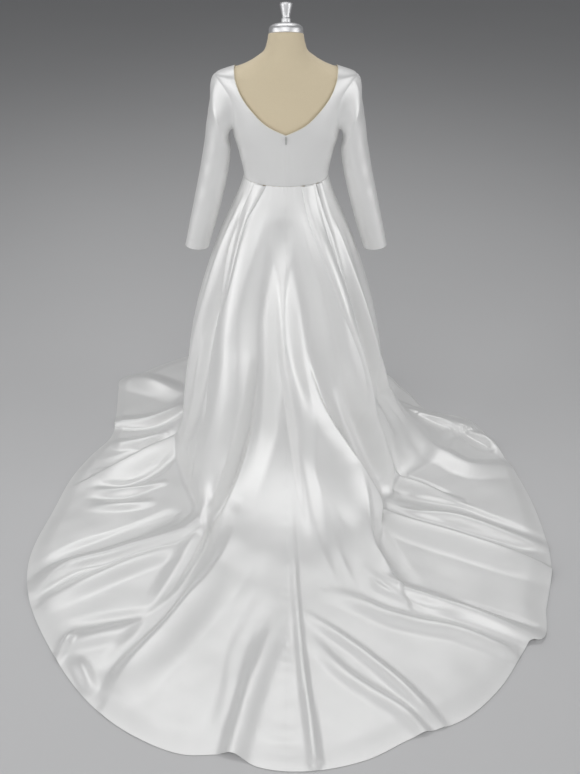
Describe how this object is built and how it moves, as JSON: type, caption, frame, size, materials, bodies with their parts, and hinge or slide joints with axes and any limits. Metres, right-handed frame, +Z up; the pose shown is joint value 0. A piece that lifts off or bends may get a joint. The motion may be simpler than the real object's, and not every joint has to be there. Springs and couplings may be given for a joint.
{
  "type": "wedding dress on a dress form",
  "caption": "White satin wedding dress with long sleeves, a V back, a pleated skirt and a long round train, worn by a limbless dress form on a pole stand with a round base.",
  "frame": {"origin": "centre of the underside of the stand's base, on the floor", "axes": "+Z up, -Y towards the back of the dress and its train, +X towards the wearer's right"},
  "size_m": [1.6277, 1.9583, 1.5333],
  "materials": {
    "satin": "smooth white satin",
    "linen": "plain beige linen over a hard shell",
    "steel": "satin",
    "black_steel": "matt black paint"
  },
  "bodies": {
    "dress_on_form": {"bodice_front": "satin", "bodice_back_left": "satin", "bodice_back_right": "satin", "sleeve_left": "satin", "sleeve_right": "satin", "skirt_front": "satin", "skirt_back_left": "satin", "skirt_back_right": "satin", "form_torso": "linen", "form_neck_cap": "steel", "form_finial": "steel", "stand_pole": "steel", "stand_base": "black_steel", "zip_slider": "steel"},
    "pull_tab": {"zip_pull_tab": "steel"}
  },
  "joints": [
    {"name": "pull_tab_hinge", "type": "hinge", "parent": "dress_on_form", "child": "pull_tab", "pos_m": [0, -0.11816, 1.1945], "axis": [-1, 0, 0], "range_deg": [0, 160]}
  ]
}
